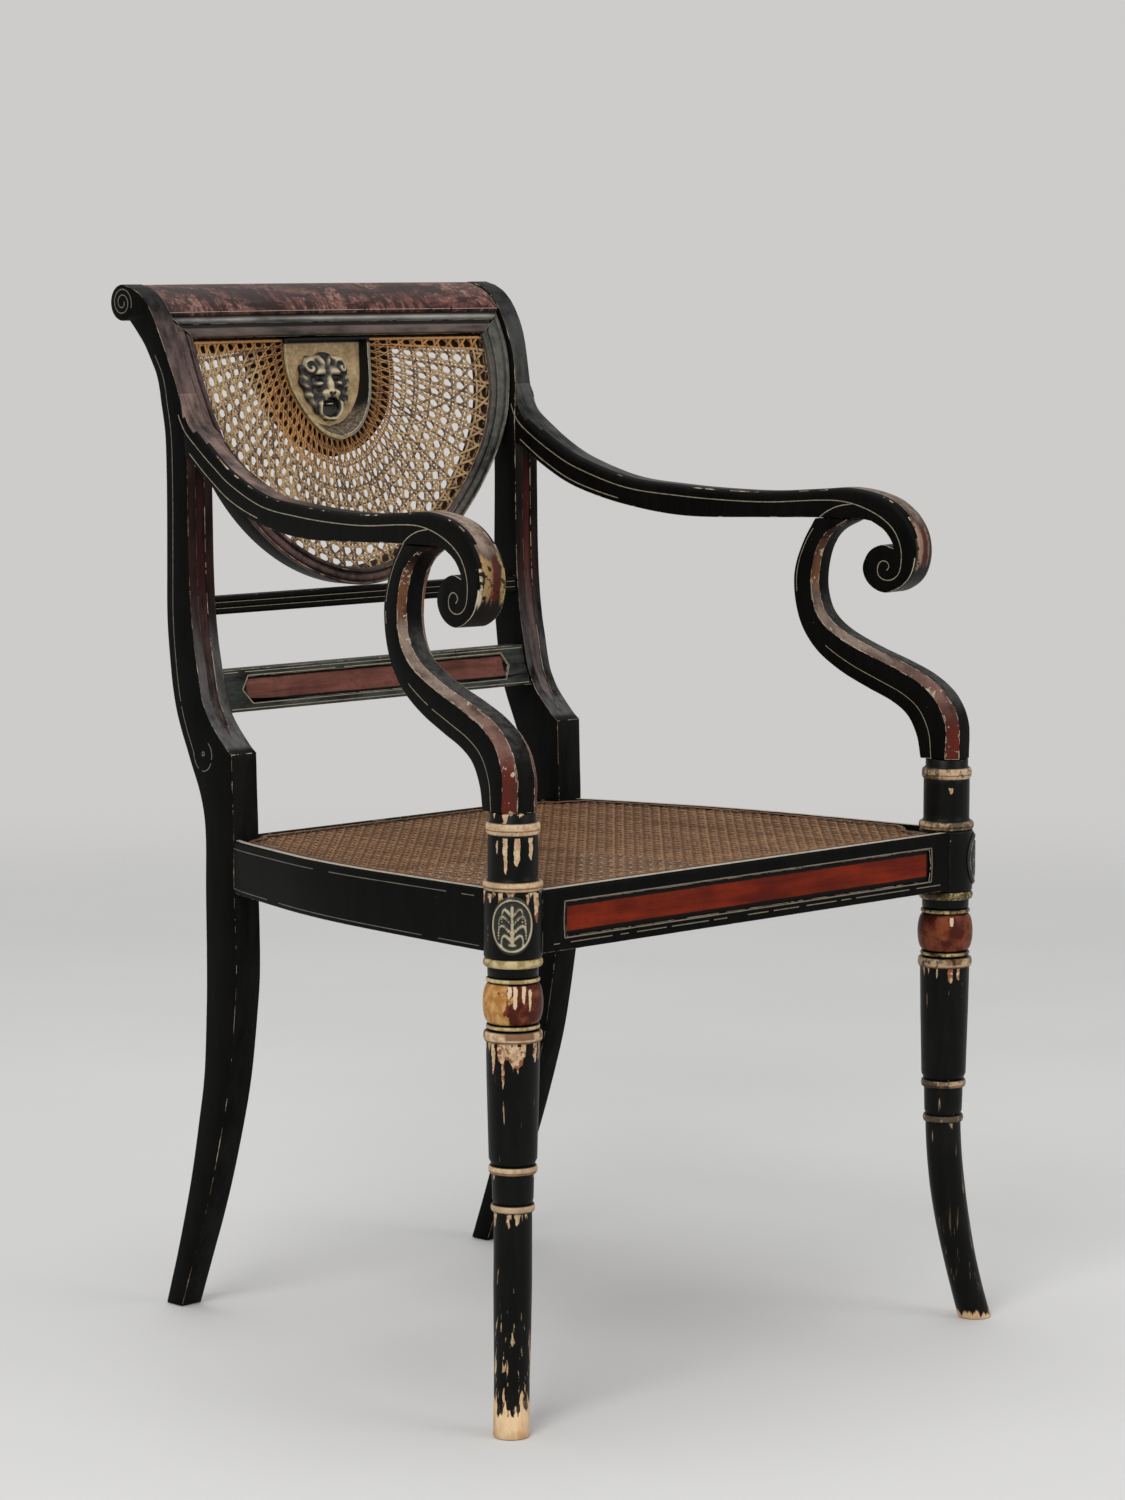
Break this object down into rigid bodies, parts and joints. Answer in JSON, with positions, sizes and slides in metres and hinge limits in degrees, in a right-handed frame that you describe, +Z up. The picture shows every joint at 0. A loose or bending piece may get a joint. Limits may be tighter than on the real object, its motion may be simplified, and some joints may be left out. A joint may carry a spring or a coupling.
{
  "type": "cane armchair",
  "caption": "Open-arm elbow chair with a caned seat, a caned scroll-over back with a lion-mask tablet, scrolled arms and turned, outswept front legs.",
  "frame": {"origin": "on the floor, under the middle of the bounding box", "axes": "+Z up, -Y the way the chair faces, +X to the right of someone who looks at its front"},
  "size_m": [0.5636, 0.5813, 0.8569],
  "materials": {
    "ebonised_wood": "worn black paint",
    "ebonised_parcel_gilt": "worn black paint with gilt lines",
    "ebonised_red_panel": "black paint with a red panel",
    "grained_rosewood": "grained red-brown paint",
    "bronzed_wood": "bronze paint with gilding",
    "bronzed_mask": "dark bronze with worn gilding",
    "golden_cane": "varnished cane",
    "brown_cane": "aged cane"
  },
  "bodies": {
    "root": {"rear_post_left": "ebonised_wood", "rear_post_right": "ebonised_wood", "front_leg_left": "ebonised_parcel_gilt", "front_leg_right": "ebonised_parcel_gilt", "arm_left": "ebonised_parcel_gilt", "arm_right": "ebonised_parcel_gilt", "arm_support_left": "ebonised_parcel_gilt", "arm_support_right": "ebonised_parcel_gilt", "seat_rail_front": "ebonised_red_panel", "seat_rail_left": "ebonised_wood", "seat_rail_right": "ebonised_wood", "seat_rail_rear": "ebonised_wood", "seat_cane": "brown_cane", "seat_binding": "brown_cane", "crest_rail": "grained_rosewood", "panel_bow": "ebonised_wood", "back_cane": "golden_cane", "shield_tablet": "bronzed_wood", "lion_mask": "bronzed_mask", "reeded_rail": "ebonised_wood", "tablet_rail": "ebonised_red_panel", "patera_left": "bronzed_wood", "patera_right": "bronzed_wood"}
  },
  "joints": []
}
